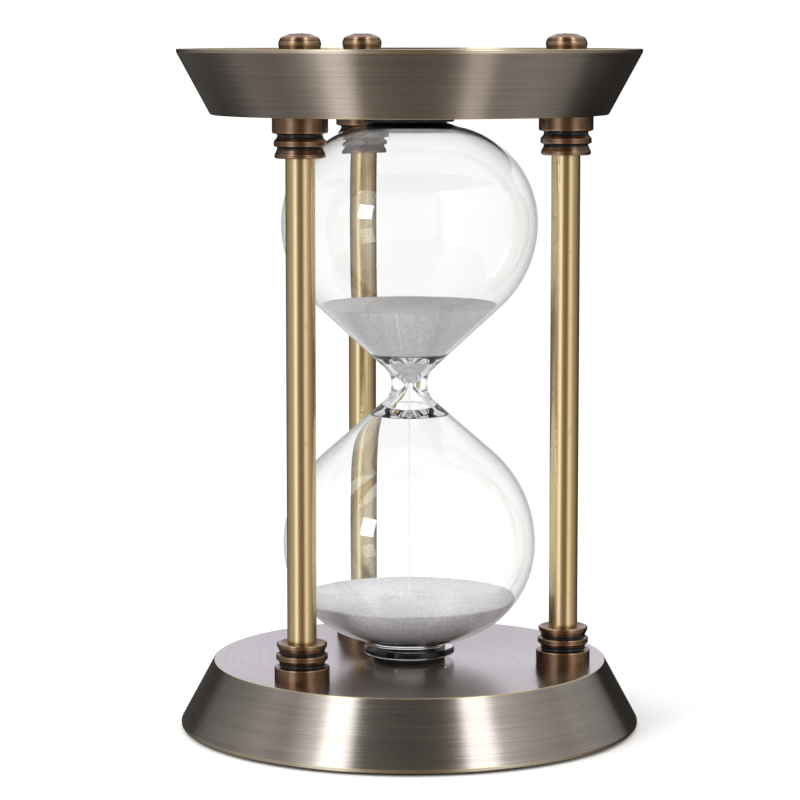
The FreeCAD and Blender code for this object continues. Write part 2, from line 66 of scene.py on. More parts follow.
MM = 0.001
CAD_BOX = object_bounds()
BODY = "root"
PLACES = ("rear", "left", "right")
WIDE_TURN_STEPS = 256
TURN_STEPS = 192
SMALL_TURN_STEPS = 96
FLANK_STEPS, ROUND_STEPS, CROWN_STEPS, NECK_STEPS = 18, 40, 56, 25
ON_AXIS = 1e-9  # a smaller radius counts as the axis
SUPPORT = 0.15 * MM  # from a straight run's ends to the points that keep its shading flat
SOCKET_PLAY = 0.05 * MM  # gap round a pillar in its socket
SAND_GAP = 0.16 * MM  # gap between the sand and the glass
SEED = 7
QUARTER_TURN = 0.25  # turns the spread of highlights, which then lies across the turned lines


# ---------------------------------------------------------------- sizes and colours that a user would change

def length(name, description, millimetres):
    """A property that holds a length."""
    return bpy.props.FloatProperty(
        name=name, description=description, default=millimetres * MM, unit="LENGTH", precision=5
    )


def share(name, description, default):
    """A property that holds a number from 0 to 1."""
    return bpy.props.FloatProperty(
        name=name, description=description, default=default, min=0.0, max=1.0, subtype="FACTOR"
    )


def colour(name, description, default):
    """A property that holds a colour."""
    return bpy.props.FloatVectorProperty(
        name=name, description=description, default=default, min=0.0, max=1.0, subtype="COLOR", size=3
    )


class PlateSettings(bpy.types.PropertyGroup):
    """Sizes and finish of the two end plates."""

    narrow_radius: length("Inner face radius", "Radius of the plate's face towards the glass", 68.5)
    rim_edge: length("Rim edge", "Height of the rim's straight edge", 1.2)
    rim_band: length("Rim band", "Width of the rolled rim", 2.4)
    rim_round: length("Rim rounding", "Rounding of the rim", 0.45)
    face_round: length("Face rounding", "Rounding between the inner face and the cone", 0.7)
    wall: length("Wall", "Sheet thickness", 1.5)
    ledge: length("Ledge", "Ledge that carries the cover", 1.8)
    brass: colour("Brass", "Brushed antique brass", (0.68, 0.60, 0.53))
    patina: colour("Patina", "Darkened brass in the brush lines", (0.43, 0.37, 0.32))
    worn: colour("Worn edge", "Bare brass where an edge is rubbed", (0.83, 0.66, 0.38))
    roughness: share("Roughness", "Roughness across the brush lines", 0.21)
    brushing: share("Brushing", "How far highlights spread across the brush lines", 0.80)


class PillarSettings(bpy.types.PropertyGroup):
    """Finish of the pillars."""

    brass: colour("Brass", "Satin brass", (0.80, 0.64, 0.37))
    patina: colour("Patina", "Brown tone in the brass", (0.62, 0.43, 0.21))
    roughness: share("Roughness", "Roughness of the satin finish", 0.24)


class CollarSettings(bpy.types.PropertyGroup):
    """Sizes and finish of the turned collars and the screw heads."""

    drum_radius: length("Drum radius", "Radius of the drum", 9.35)
    drum_height: length("Drum height", "Height of the drum", 5.1)
    groove_radius: length("Groove radius", "Radius at the bottom of a groove", 7.6)
    ridge_radius: length("Ridge radius", "Radius of the middle ridge", 8.75)
    lip_radius: length("Lip radius", "Radius of the lip", 8.5)
    floor: length("Floor", "Thickness of the collar's floor", 3.4)
    copper: colour("Copper", "Antique copper", (0.30, 0.185, 0.118))
    rubbed: colour("Rubbed copper", "Bare copper on rubbed edges", (0.58, 0.375, 0.225))
    # This black is also the painted shade deep in the screw heads' cross recesses.
    black: colour("Groove black", "Black patina in the grooves", (0.018, 0.019, 0.022))
    head_height: length("Head height", "Height of a screw head", 5.9)
    recess_depth: length("Recess depth", "Depth of the cross recess", 2.6)
    recess_wing: length("Recess wing", "Half the width of a wing of the recess", 0.62)
    recess_span: length("Recess span", "Half the width across the recess", 3.3)


class GlassSettings(bpy.types.PropertyGroup):
    """Sizes and tint of the blown glass."""

    rise: length("Rise", "Distance of a bulb's widest ring from the waist", 56.0)
    upper_round: length("Upper round", "Radius of the upper bulb's arc towards the waist", 39.0)
    upper_offset: length("Upper offset", "Distance of that arc's centre from the axis", 5.4)
    upper_crown: length("Upper crown", "Radius of the upper bulb's arc towards its crown", 33.9)
    lower_round: length("Lower round", "Radius of the lower bulb's arc towards the waist", 42.6)
    lower_offset: length("Lower offset", "Distance of that arc's centre from the axis", 1.4)
    lower_crown: length("Lower crown", "Radius of the lower bulb's arc towards its floor", 34.4)
    wall: length("Wall", "Wall thickness in the bulbs", 1.0)
    waist_lift: length("Waist lift", "Height of the waist above the middle of the frame", 1.5)
    waist_radius: length("Waist radius", "Outer radius of the waist", 6.2)
    waist_round: length("Waist round", "Radius of the waist's hollow", 8.0)
    throat_radius: length("Throat radius", "Radius of the sand hole", 1.2)
    throat_land: length("Throat land", "Half the height of the sand hole", 0.6)
    funnel_radius: length("Funnel radius", "Radius of the funnel's mouth", 7.3)
    funnel_height: length("Funnel height", "Height of the funnel's mouth above the waist", 9.2)
    shelf_radius: length("Shelf radius", "Radius where the thick glass meets the thin wall", 13.0)
    foot_radius: length("Foot radius", "Radius of the glass disc under the lower bulb", 15.8)
    foot_height: length("Foot height", "Thickness of that disc", 2.4)
    foot_neck: length("Foot neck", "Radius of the glass between that disc and the bulb", 12.5)
    crown_neck: length("Crown neck", "Radius where the upper bulb's crown turns up to its flat", 16.5)
    flat_radius: length("Flat radius", "Radius of the flat on the upper bulb", 12.0)
    foot_round: length("Foot rounding", "Rounding of that disc and of the flat", 0.5)
    ripple: length("Ripple", "Unevenness of the blown wall", 0.03)
    tint: colour("Tint", "Colour of the glass", (0.985, 0.992, 0.99))


class SandSettings(bpy.types.PropertyGroup):
    """Colour and heap of the sand."""

    white: colour("White", "Colour of the grains", (0.86, 0.83, 0.86))
    grey: colour("Grey", "Colour of the darker grains", (0.50, 0.48, 0.49))
    grain: length("Grain", "Size of a grain", 0.40)
    mound_radius: length("Mound radius", "Radius of the small mound", 8.0)


class StageSettings(bpy.types.PropertyGroup):
    """Camera, floor and lights."""

    azimuth: bpy.props.FloatProperty(
        name="Azimuth", description="Where the camera stands round the object",
        default=math.radians(-18.13), subtype="ANGLE",
    )
    elevation: bpy.props.FloatProperty(
        name="Elevation", description="How far the camera looks down",
        default=math.radians(6.847), subtype="ANGLE",
    )
    distance: bpy.props.FloatProperty(
        name="Distance", description="Camera to aim point", default=1.060, unit="LENGTH"
    )
    lens: bpy.props.FloatProperty(
        name="Lens", description="Focal length in millimetres", default=137.25, unit="CAMERA"
    )
    aim: bpy.props.FloatVectorProperty(
        name="Aim", description="Point that the camera looks at",
        default=(-0.0036, -0.0005, 0.1146), subtype="TRANSLATION", unit="LENGTH",
    )
    paper: colour("Paper", "Colour of the floor", (0.90, 0.90, 0.90))


# ---------------------------------------------------------------- turned shapes

def corner_round(before, corner, after, radius, steps):
    """Points of the circle of this radius that touches the two edges meeting at a corner: its centre lies
    on the corner's bisector, radius / sin(half the angle) away, and the arc runs the short way round."""
    towards = (before - corner) / np.linalg.norm(before - corner)
    away = (after - corner) / np.linalg.norm(after - corner)
    half = 0.5 * np.arccos(np.clip(towards @ away, -1.0, 1.0))
    bisector = (towards + away) / np.linalg.norm(towards + away)
    centre = corner + bisector * radius / np.sin(half)
    first = corner + towards * radius / np.tan(half) - centre
    last = corner + away * radius / np.tan(half) - centre
    start = np.arctan2(first[1], first[0])
    sweep = (np.arctan2(last[1], last[0]) - start + np.pi) % (2 * np.pi) - np.pi
    angles = start + sweep * np.linspace(0.0, 1.0, steps)
    return centre + radius * np.stack([np.cos(angles), np.sin(angles)], axis=1)


def straight_run(start, end, spacing):
    """Points inside a straight run: one close to each end, which keeps the shading of the run flat, and
    others at most spacing apart."""
    reach = np.linalg.norm(end - start)
    if reach < 4 * SUPPORT:
        return np.empty((0, 2))
    inner = max(2, int(np.ceil(reach / spacing)) + 1)
    shares = np.linspace(SUPPORT / reach, 1 - SUPPORT / reach, inner)[:, None]
    return start + (end - start) * shares


def outline(corners, closed=False, steps=7, spacing=1.0):
    """Radius, height, wear and paint along an outline of corners (radius, height, rounding, paint), whose
    paint may be left out where it is 0. The wear is 1 on the rounded corners and 0 between them."""
    points = np.array([corner[:2] for corner in corners], float)
    count = len(points)
    stretches = []
    for number, corner in enumerate(corners):
        rounding, paint = (*corner[2:], 0.0)[:2]
        if rounding > 0:
            following = points[(number + 1) % count]
            arc = corner_round(points[number - 1], points[number], following, rounding, steps)
            stretches.append((arc, 1.0, paint))
        else:
            stretches.append((points[number][None, :], 0.0, paint))
    rows = []
    for number, (arc, wear, paint) in enumerate(stretches):
        rows.extend((*point, wear, paint) for point in arc)
        if closed or number < count - 1:
            following, _, next_paint = stretches[(number + 1) % count]
            mixed = paint if paint == next_paint else 0.0
            rows.extend((*point, 0.0, mixed) for point in straight_run(arc[-1], following[0], spacing))
    return np.array(rows)


def flipped(profile, level):
    """The same outline turned upside down about a level, run the other way so that it still faces out."""
    turned_over = profile[::-1].copy()
    turned_over[:, 1] = 2 * level - turned_over[:, 1]
    return turned_over


def raised(profile, level):
    """The same outline moved up."""
    moved = profile.copy()
    moved[:, 1] += level
    return moved


def turned_piece(name, profile, centre=(0.0, 0.0), closed=False, turns=TURN_STEPS, shift=None):
    """A surface of revolution: point (i, j) is the centre plus (r_i cos a_j, r_i sin a_j, z_i), with
    a_j = 2 pi j / turns. Where the outline starts or ends on the axis, the ring shrinks to one point.
    shift(angle, height) gives an extra radius."""
    angles = 2 * np.pi * np.arange(turns) / turns
    radius = np.repeat(profile[:, 0][:, None], turns, axis=1)
    height = np.repeat(profile[:, 1][:, None], turns, axis=1)
    if shift is not None:
        radius = radius + shift(angles[None, :], height) * (radius > 0)
    spots = np.stack([radius * np.cos(angles), radius * np.sin(angles), height], axis=2)
    index = np.arange(len(profile) * turns).reshape(len(profile), turns)
    for end in (0, -1):
        if not closed and profile[end, 0] < ON_AXIS:
            index[end] = index[end, 0]
    low = index if closed else index[:-1]
    high = np.roll(index, -1, axis=0) if closed else index[1:]
    low_next = np.roll(low, -1, axis=1)
    high_next = np.roll(high, -1, axis=1)
    quads = np.stack([low, low_next, high_next, high], axis=2).reshape(-1, 4)
    used, compact = np.unique(quads, return_inverse=True)
    quads = compact.reshape(-1, 4)
    faces = [tuple(dict.fromkeys(quad)) for quad in quads.tolist()]
    local = spots.reshape(-1, 3)[used]
    wear = np.repeat(profile[:, 2], turns)[used]
    paint = np.repeat(profile[:, 3], turns)[used]
    return finished_mesh(name, local, faces, centre, {"wear": wear, "paint": paint})


def finished_mesh(name, local, faces, centre, masks):
    """A smooth mesh object at the origin. The attribute "local" holds each point's place about the
    piece's own axis, and the masks are stored as attributes too."""
    places = local + np.array([*centre, 0.0])
    mesh = bpy.data.meshes.new(name)
    mesh.from_pydata(places.tolist(), [], faces)
    mesh.polygons.foreach_set("use_smooth", np.ones(len(faces), dtype=bool))
    stored = mesh.attributes.new("local", "FLOAT_VECTOR", "POINT")
    stored.data.foreach_set("vector", local.astype(np.float32).ravel())
    for label, values in masks.items():
        stored = mesh.attributes.new(label, "FLOAT", "POINT")
        stored.data.foreach_set("value", values.astype(np.float32))
    mesh.update()
    piece = bpy.data.objects.new(name, mesh)
    bpy.context.scene.collection.objects.link(piece)
    return piece


def local_places(piece):
    """Each point's place about the piece's own axis."""
    local = np.empty(len(piece.data.vertices) * 3, np.float32)
    piece.data.attributes["local"].data.foreach_get("vector", local)
    return local.reshape(-1, 3).astype(float)


def move_points(piece, local, centre=(0.0, 0.0)):
    """Puts the points at new places about the piece's own axis, which stands at the centre."""
    places = local + np.array([*centre, 0.0])
    piece.data.vertices.foreach_set("co", places.astype(np.float32).ravel())
    piece.data.update()


def middle(node):
    """The middle of a node's box, seen from above."""
    low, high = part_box(node)
    return ((low.x + high.x) / 2, (low.y + high.y) / 2)


def install(piece, node, material):
    """Gives a piece its material, fixes it to the body and lets it stand for its node."""
    piece.data.materials.append(material)
    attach(piece, BODY)
    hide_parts(node)


# ---------------------------------------------------------------- shader workbench

class Wire:
    """A number socket. Python's arithmetic signs on it add Math nodes."""

    def __init__(self, bench, socket):
        self.bench = bench
        self.socket = socket

    def maths(self, operation, *values):
        return self.bench.number("ShaderNodeMath", {"operation": operation}, values)

    def __add__(self, other):
        return self.maths("ADD", self, other)

    def __radd__(self, other):
        return self.maths("ADD", other, self)

    def __sub__(self, other):
        return self.maths("SUBTRACT", self, other)

    def __rsub__(self, other):
        return self.maths("SUBTRACT", other, self)

    def __mul__(self, other):
        return self.maths("MULTIPLY", self, other)

    def __rmul__(self, other):
        return self.maths("MULTIPLY", other, self)

    def __truediv__(self, other):
        return self.maths("DIVIDE", self, other)

    def __pow__(self, other):
        return self.maths("POWER", self, other)

    def held(self):
        """The value kept between 0 and 1."""
        return self.bench.number("ShaderNodeClamp", {}, [self])

    def above(self, low, high):
        """0 below low, 1 above high and smooth between them."""
        values = {"Value": self, "From Min": low, "From Max": high}
        return self.bench.number("ShaderNodeMapRange", {"interpolation_type": "SMOOTHSTEP"}, values)


class Bench:
    """Builds one node tree."""

    def __init__(self, tree):
        self.tree = tree
        self.tree.nodes.clear()

    def node(self, kind, settings=None, inputs=()):
        """One node: its settings are set first, then its sockets get values or links."""
        made = self.tree.nodes.new(kind)
        for label, value in (settings or {}).items():
            setattr(made, label, value)
        pairs = inputs.items() if isinstance(inputs, dict) else enumerate(inputs)
        for label, value in pairs:
            socket = value.socket if isinstance(value, Wire) else value
            if isinstance(socket, bpy.types.NodeSocket):
                self.tree.links.new(socket, made.inputs[label])
            else:
                made.inputs[label].default_value = value
        return made

    def number(self, kind, settings, inputs):
        return Wire(self, self.node(kind, settings, inputs).outputs[0])

    def split(self, vector):
        """The three numbers of a vector."""
        parts = self.node("ShaderNodeSeparateXYZ", {}, [vector])
        return [Wire(self, socket) for socket in parts.outputs]

    def joined(self, across, along, up):
        return self.node("ShaderNodeCombineXYZ", {}, [across, along, up]).outputs[0]

    def mask(self, name):
        """A number stored on the mesh."""
        return Wire(self, self.node("ShaderNodeAttribute", {"attribute_name": name}).outputs["Fac"])

    def place(self):
        """The point's place about the piece's own axis."""
        return self.node("ShaderNodeAttribute", {"attribute_name": "local"}).outputs["Vector"]

    def noise(self, vector, scale, detail=2.0, roughness=0.5):
        inputs = {"Vector": vector, "Scale": scale, "Detail": detail, "Roughness": roughness}
        return Wire(self, self.node("ShaderNodeTexNoise", {}, inputs).outputs[0])

    def blend(self, amount, first, second):
        """A colour between two colours."""
        made = self.node("ShaderNodeMix", {"data_type": "RGBA"}, {"Factor": amount})
        for label, value in ((6, first), (7, second)):
            if isinstance(value, bpy.types.NodeSocket):
                self.tree.links.new(value, made.inputs[label])
            else:
                made.inputs[label].default_value = (*value, 1.0)
        return made.outputs[2]

    def bump(self, height, strength, distance):
        inputs = {"Height": height, "Strength": strength, "Distance": distance}
        return self.node("ShaderNodeBump", {}, inputs).outputs[0]

    def principled(self, inputs):
        return self.node("ShaderNodeBsdfPrincipled", {}, inputs).outputs[0]

    def glow(self, tint, strength):
        """Light from the sky."""
        return self.node("ShaderNodeBackground", {}, [tint, strength]).outputs[0]

    def mixed(self, amount, first, second):
        """A shader between two shaders."""
        return self.node("ShaderNodeMixShader", {}, [amount, first, second]).outputs[0]

    def surface(self, shader):
        self.node("ShaderNodeOutputMaterial", {}, {"Surface": shader})


def new_material(name):
    """A material with an empty tree, and its bench."""
    material = bpy.data.materials.new(name)
    material.use_nodes = True
    return material, Bench(material.node_tree)


def turning_marks(bench, lines, reach):
    """Fine lines that run round the piece's own axis: noise that is stretched round the axis, so that
    it depends on height plus radius much more than on the direction."""
    across, along, up = bench.split(bench.place())
    radius = (across * across + along * along) ** 0.5 + 1e-5
    depth = (up + radius * 0.9) * lines
    vector = bench.joined(across / radius * reach, along / radius * reach, depth)
    return bench.noise(vector, 1.0, detail=3.0, roughness=0.6)


def turned_metal(bench, base, metallic, roughness, brushing, normal):
    """Makes the surface metal whose highlights spread across its turned lines."""
    bench.surface(bench.principled({
        "Base Color": base,
        "Metallic": metallic,
        "Roughness": roughness,
        "Anisotropic": brushing,
        "Anisotropic Rotation": QUARTER_TURN,
        "Normal": normal,
    }))


def brushed_brass(name, settings):
    """Brushed antique brass: fine turned lines, cloudy patina and rubbed edges."""
    material, bench = new_material(name)
    fine = turning_marks(bench, 9000.0, 2.5)
    broad = turning_marks(bench, 1400.0, 1.2)
    clouds = bench.noise(bench.place(), 28.0, detail=3.0)
    lines = fine * 0.65 + broad * 0.35
    tone = (lines * 2.1 - 0.57 + (clouds - 0.5) * 0.5).held()
    base = bench.blend(tone, tuple(settings.patina), tuple(settings.brass))
    rub = (bench.mask("wear") * (0.30 + broad * 0.7)).held()
    base = bench.blend(rub, base, tuple(settings.worn))
    roughness = (settings.roughness + (lines - 0.5) * 0.16 + (clouds - 0.5) * 0.06).held()
    turned_metal(bench, base, 1.0, roughness, settings.brushing, bench.bump(lines, 0.18, 0.06 * MM))
    return material


def satin_brass(settings):
    """Satin brass of the pillars: lengthwise tone streaks and very fine turned lines."""
    material, bench = new_material("satin_brass")
    across, along, up = bench.split(bench.place())
    fine = turning_marks(bench, 12000.0, 3.0)
    streak = bench.noise(bench.joined(across * 500.0, along * 500.0, up * 9.0), 1.0, detail=3.0)
    spots = bench.noise(bench.place(), 260.0, detail=3.0).above(0.60, 0.74)
    tone = (0.25 + streak * 0.55 + fine * 0.35 - spots * 0.25).held()
    base = bench.blend(tone, tuple(settings.patina), tuple(settings.brass))
    roughness = (settings.roughness + (fine - 0.5) * 0.12 + spots * 0.08).held()
    turned_metal(bench, base, 1.0, roughness, 0.5, bench.bump(fine, 0.12, 0.05 * MM))
    return material


def antique_copper(name, settings, gold=0.0):
    """Antique copper with black where the paint mask says (black patina in the collars' grooves, painted
    shade deep in the screws' cross recesses) and rubbed edges. More gold rubs the whole surface, edges and
    all."""
    material, bench = new_material(name)
    fine = turning_marks(bench, 9000.0, 2.0)
    clouds = bench.noise(bench.place(), 190.0, detail=4.0, roughness=0.6)
    dark = tuple(part * 0.34 for part in settings.copper)
    base = bench.blend((clouds * 1.3 - 0.1 + fine * 0.2).held(), dark, tuple(settings.copper))
    rub = (bench.mask("wear") * (0.25 + clouds * 0.7) + gold).held()
    base = bench.blend(rub, base, tuple(settings.rubbed))
    # Black where the paint mask says: black patina in the collars' grooves, and painted shade deep in the
    # screws' cross recesses.
    patina_and_shade = (bench.mask("paint") * (0.86 + clouds * 0.4)).held()
    base = bench.blend(patina_and_shade, base, tuple(settings.black))
    roughness = (0.24 + (clouds - 0.5) * 0.22 + (fine - 0.5) * 0.10 - patina_and_shade * 0.05).held()
    marks = bench.bump(clouds * 0.5 + fine * 0.5, 0.22, 0.08 * MM)
    turned_metal(bench, base, (1.0 - patina_and_shade * 0.55).held(), roughness, 0.35, marks)
    return material


def clear_glass(settings):
    """Clear glass that lets lamps through, so that the sand inside is lit."""
    material, bench = new_material("clear_glass")
    glass = bench.principled({
        "Base Color": (*settings.tint, 1.0),
        "Roughness": 0.0,
        "IOR": 1.5,
        "Transmission Weight": 1.0,
    })
    lamp = bench.node("ShaderNodeBsdfTransparent", {}, {"Color": (*settings.tint, 1.0)}).outputs[0]
    path = bench.node("ShaderNodeLightPath")
    bench.surface(bench.mixed(path.outputs["Is Shadow Ray"], glass, lamp))
    return material


def white_sand(name, settings, density=1.0):
    """Fine white sand: a mix of light and darker grains, each a small bump. Falling sand has a lower
    density, so that the air between its grains shows."""
    material, bench = new_material(name)
    place = bench.place()
    cells = bench.node("ShaderNodeTexVoronoi", {}, {"Vector": place, "Scale": 1.0 / settings.grain})
    grain_tone = bench.split(cells.outputs["Color"])[0]
    heap = bench.noise(place, 90.0, detail=3.0)
    tone = (grain_tone * 0.75 + heap * 0.35).held()
    base = bench.blend(tone, tuple(settings.grey), tuple(settings.white))
    height = 1.0 - Wire(bench, cells.outputs["Distance"])
    inputs = {
        "Base Color": base,
        "Roughness": (0.95 - grain_tone * 0.25).held(),
        "Specular IOR Level": 0.35,
        "Normal": bench.bump(height, 0.7, settings.grain * 0.5),
    }
    if density < 1.0:
        inputs["Alpha"] = (grain_tone * 2.0 * density).held()
    bench.surface(bench.principled(inputs))
    return material


def black_rubber(name):
    """Matt black rubber with a faint pebbled skin."""
    material, bench = new_material(name)
    place = bench.node("ShaderNodeTexCoord").outputs["Object"]
    skin = bench.noise(place, 1500.0, detail=3.0)
    dust = bench.noise(place, 120.0, detail=4.0)
    base = bench.blend(dust.above(0.45, 0.8), (0.014, 0.013, 0.013), (0.045, 0.042, 0.040))
    inputs = {
        "Base Color": base,
        "Roughness": (0.55 + skin * 0.25).held(),
        "Normal": bench.bump(skin, 0.35, 0.12 * MM),
    }
    bench.surface(bench.principled(inputs))
    return material


def plain_metal(name, light, dark, roughness):
    """Metal of the hidden hardware, with a faint cloudiness."""
    material, bench = new_material(name)
    place = bench.node("ShaderNodeTexCoord").outputs["Object"]
    clouds = bench.noise(place, 240.0, detail=4.0)
    marks = bench.noise(place, 2500.0, detail=2.0)
    inputs = {
        "Base Color": bench.blend(clouds, dark, light),
        "Metallic": 1.0,
        "Roughness": (roughness + (clouds - 0.5) * 0.2).held(),
        "Normal": bench.bump(marks, 0.15, 0.08 * MM),
    }
    bench.surface(bench.principled(inputs))
    return material


# ---------------------------------------------------------------- outlines of the pieces

def plate_outline(settings):
    """A plate's sheet in section, from the axis of its inner face round the rim and back inside. Height
    0 is the inner face and the rim is up."""
    low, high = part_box("top_shell")
    plate_height = high.z - low.z
    cover_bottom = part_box("top_cover")[0].z - low.z
    wide = high.x
    cone_height = plate_height - settings.rim_edge
    slope = (wide - settings.narrow_radius) / cone_height
    inside_foot = settings.narrow_radius - settings.wall * math.hypot(1.0, slope)
    rim_inside = wide - settings.rim_band
    ledge_bottom = cover_bottom - 1.6 * MM
    rim_foot_round = 0.35 * MM
    bend = 0.2 * MM
    corners = [
        (0.0, 0.0, 0.0),
        (settings.narrow_radius, 0.0, settings.face_round),
        (wide, cone_height, rim_foot_round),
        (wide, plate_height, settings.rim_round),
        (rim_inside, plate_height, settings.rim_round),
        (rim_inside, cover_bottom, bend),
        (rim_inside - settings.ledge, cover_bottom, bend),
        (inside_foot + slope * ledge_bottom, ledge_bottom, bend),
        (inside_foot + slope * settings.wall, settings.wall, bend),
        (0.0, settings.wall, 0.0),
    ]
    return outline(corners, spacing=4 * MM)


def disc_outline(radius, thickness, rounding, spacing=4 * MM):
    """A flat disc, or a rod, with rounded edges, from its lower to its upper middle."""
    corners = [(0.0, 0.0, 0.0), (radius, 0.0, rounding), (radius, thickness, rounding), (0.0, thickness, 0.0)]
    return outline(corners, spacing=spacing)


def collar_outline(settings, socket, height):
    """A turned collar in section, its drum at height 0. From there up come the drum, a groove, the ridge,
    another groove, and the lip, whose top is dished down to the socket. Paint 1 marks the black grooves."""
    drum_top = settings.drum_height
    first_bed = drum_top + 1.4 * MM
    ridge = first_bed + 1.4 * MM
    ridge_top = ridge + 1.5 * MM
    second_bed = ridge_top + 0.95 * MM
    lip = second_bed + 1.9 * MM
    lip_flare, lip_bevel, dish_depth = 0.05 * MM, 0.7 * MM, 1.0 * MM
    hole = 3.25 * MM
    sharp, soft = 0.12 * MM, 0.35 * MM

    def groove(start, bed):
        """A step in at the start, and at the bed a wide hollow that sweeps out again."""
        radius = settings.groove_radius
        return [(radius, start + 0.5 * MM, 0.2 * MM, 1.0), (radius, bed, 1.5 * MM, 1.0)]

    corners = [
        (hole, 0.0, sharp),
        (settings.drum_radius, 0.0, 0.25 * MM),
        (settings.drum_radius, drum_top, 0.3 * MM),
        *groove(drum_top, first_bed),
        (settings.ridge_radius, ridge, 0.15 * MM),
        (settings.ridge_radius, ridge_top, 0.25 * MM),
        *groove(ridge_top, second_bed),
        (settings.lip_radius, lip, 0.25 * MM),
        (settings.lip_radius + lip_flare, height - 0.3 * MM, soft),
        (settings.lip_radius - lip_bevel, height, soft),
        (socket, height - dish_depth, sharp),
        (socket, settings.floor, sharp),
        (hole, settings.floor, sharp),
    ]
    return outline(corners, closed=True, spacing=1.5 * MM)


class Bulb:
    """One bulb in section, set back from the outside of the glass by a margin: a straight flank from the
    neck, an arc from there to the widest ring and a tighter arc to the crown. Lengths along the axis
    are distances from the waist."""

    def __init__(self, settings, side, margin):
        self.middle = getattr(settings, side + "_offset")
        self.round = getattr(settings, side + "_round") - margin
        self.crown_round = getattr(settings, side + "_crown") - margin
        self.crown_middle = self.middle + self.round - self.crown_round
        self.rise = settings.rise
        self.neck_middle = settings.waist_radius + settings.waist_round
        self.neck_round = settings.waist_round + margin
        self.neck, self.shoulder = self.flank_ends()

    def flank_ends(self):
        """Where the flank touches the hollow round at the neck and the bulb's arc. It crosses between
        the two circles, so the sine of its angle to the line of centres is the sum of the radii over
        the distance of the centres."""
        across = self.middle - self.neck_middle
        gap_squared = across * across + self.rise * self.rise
        rounds = self.neck_round + self.round
        straight = math.sqrt(gap_squared - rounds * rounds)
        outward = (across * straight + self.rise * rounds) / gap_squared
        upward = (self.rise * straight - across * rounds) / gap_squared
        at_neck = (self.neck_middle - self.neck_round * upward, self.neck_round * outward)
        at_bulb = (self.middle + self.round * upward, self.rise - self.round * outward)
        return np.array(at_neck), np.array(at_bulb)

    def on_flank(self, radius):
        """The point of the flank with this radius."""
        along = (radius - self.neck[0]) / (self.shoulder[0] - self.neck[0])
        return self.neck + (self.shoulder - self.neck) * along

    def flank_and_round(self, start, end_radius):
        """Points from a start on the flank, along the bulb's arc and the crown's arc, to a radius."""
        first = (self.middle, self.rise)
        second = (self.crown_middle, self.rise)
        straight = start + (self.shoulder - start) * np.linspace(0.0, 1.0, FLANK_STEPS)[:-1, None]
        below = arc_points(first, self.round, direction_of(self.shoulder, first), 0.0, ROUND_STEPS)
        end = math.acos((end_radius - self.crown_middle) / self.crown_round)
        above = arc_points(second, self.crown_round, 0.0, end, CROWN_STEPS)[1:]
        return np.concatenate([straight, below, above])


def arc_points(centre, radius, start, end, steps):
    """Points of a circle from a start angle to an end angle, both in radians."""
    angles = np.linspace(start, end, steps)
    return np.array(centre) + radius * np.stack([np.cos(angles), np.sin(angles)], axis=1)


def direction_of(point, centre):
    """The angle at which a point is seen from a centre."""
    return math.atan2(point[1] - centre[1], point[0] - centre[0])


def with_masks(points):
    """An outline with no wear and no paint."""
    return np.concatenate([points, np.zeros((len(points), 2))], axis=1)


def joined_at_waist(lower_half, upper_half):
    """Both sides of the glass in section, from the lower end up through the waist to the upper end."""
    below = lower_half[:0:-1] * np.array([1.0, -1.0])
    return np.concatenate([below, upper_half])


def outer_half(settings, side, end):
    """The outside from the waist to one end: the hollow round of the neck, the bulb and its foot."""
    bulb = Bulb(settings, side, 0.0)
    centre = (bulb.neck_middle, 0.0)
    neck = arc_points(centre, bulb.neck_round, math.pi, direction_of(bulb.neck, centre), NECK_STEPS)[:-1]
    rounding = settings.foot_round
    if side == "lower":
        wall = bulb.flank_and_round(bulb.neck, settings.foot_neck)
        disc = end - settings.foot_height
        corners = [
            (settings.foot_neck, disc, rounding * 0.6),
            (settings.foot_radius, disc, rounding),
            (settings.foot_radius, end, rounding),
        ]
    else:
        wall = bulb.flank_and_round(bulb.neck, settings.crown_neck)
        corners = [(settings.flat_radius, end, rounding)]
    foot = outline([(*wall[-1], 0.0), *corners, (0.0, end, 0.0)])[1:, :2]
    return np.concatenate([neck, wall, foot])


def inner_half(settings, side, gap):
    """The inside, less a gap, from the waist to one end: the sand hole, the funnel, the shelf round its
    mouth and the bulb."""
    bulb = Bulb(settings, side, settings.wall + gap)
    throat = settings.throat_radius - gap
    funnel_round, shelf_round, shelf_run = 1.0 * MM, 1.6 * MM, 5.0 * MM
    corners = [
        (throat, 0.0, 0.0),
        (throat, settings.throat_land, funnel_round),
        (settings.funnel_radius - gap, settings.funnel_height + gap, funnel_round),
        (*bulb.on_flank(settings.shelf_radius), shelf_round),
        (*bulb.on_flank(settings.shelf_radius + shelf_run), 0.0),
    ]
    funnel = outline(corners, steps=9)[:, :2]
    wall = bulb.flank_and_round(funnel[-1], bulb.crown_middle)[1:]
    inwards = np.linspace(1.0, 0.0, 13)[1:]
    crown = wall[-1] * np.stack([inwards, np.ones(len(inwards))], axis=1)
    return np.concatenate([funnel, wall, crown])


def stretch_between(points, low, high):
    """The part of a climbing outline between two heights."""
    inside = (points[:, 1] > low) & (points[:, 1] < high)
    ends = [[np.interp(level, points[:, 1], points[:, 0]), level] for level in (low, high)]
    return np.concatenate([ends[:1], points[inside], ends[1:]])


# ---------------------------------------------------------------- operators

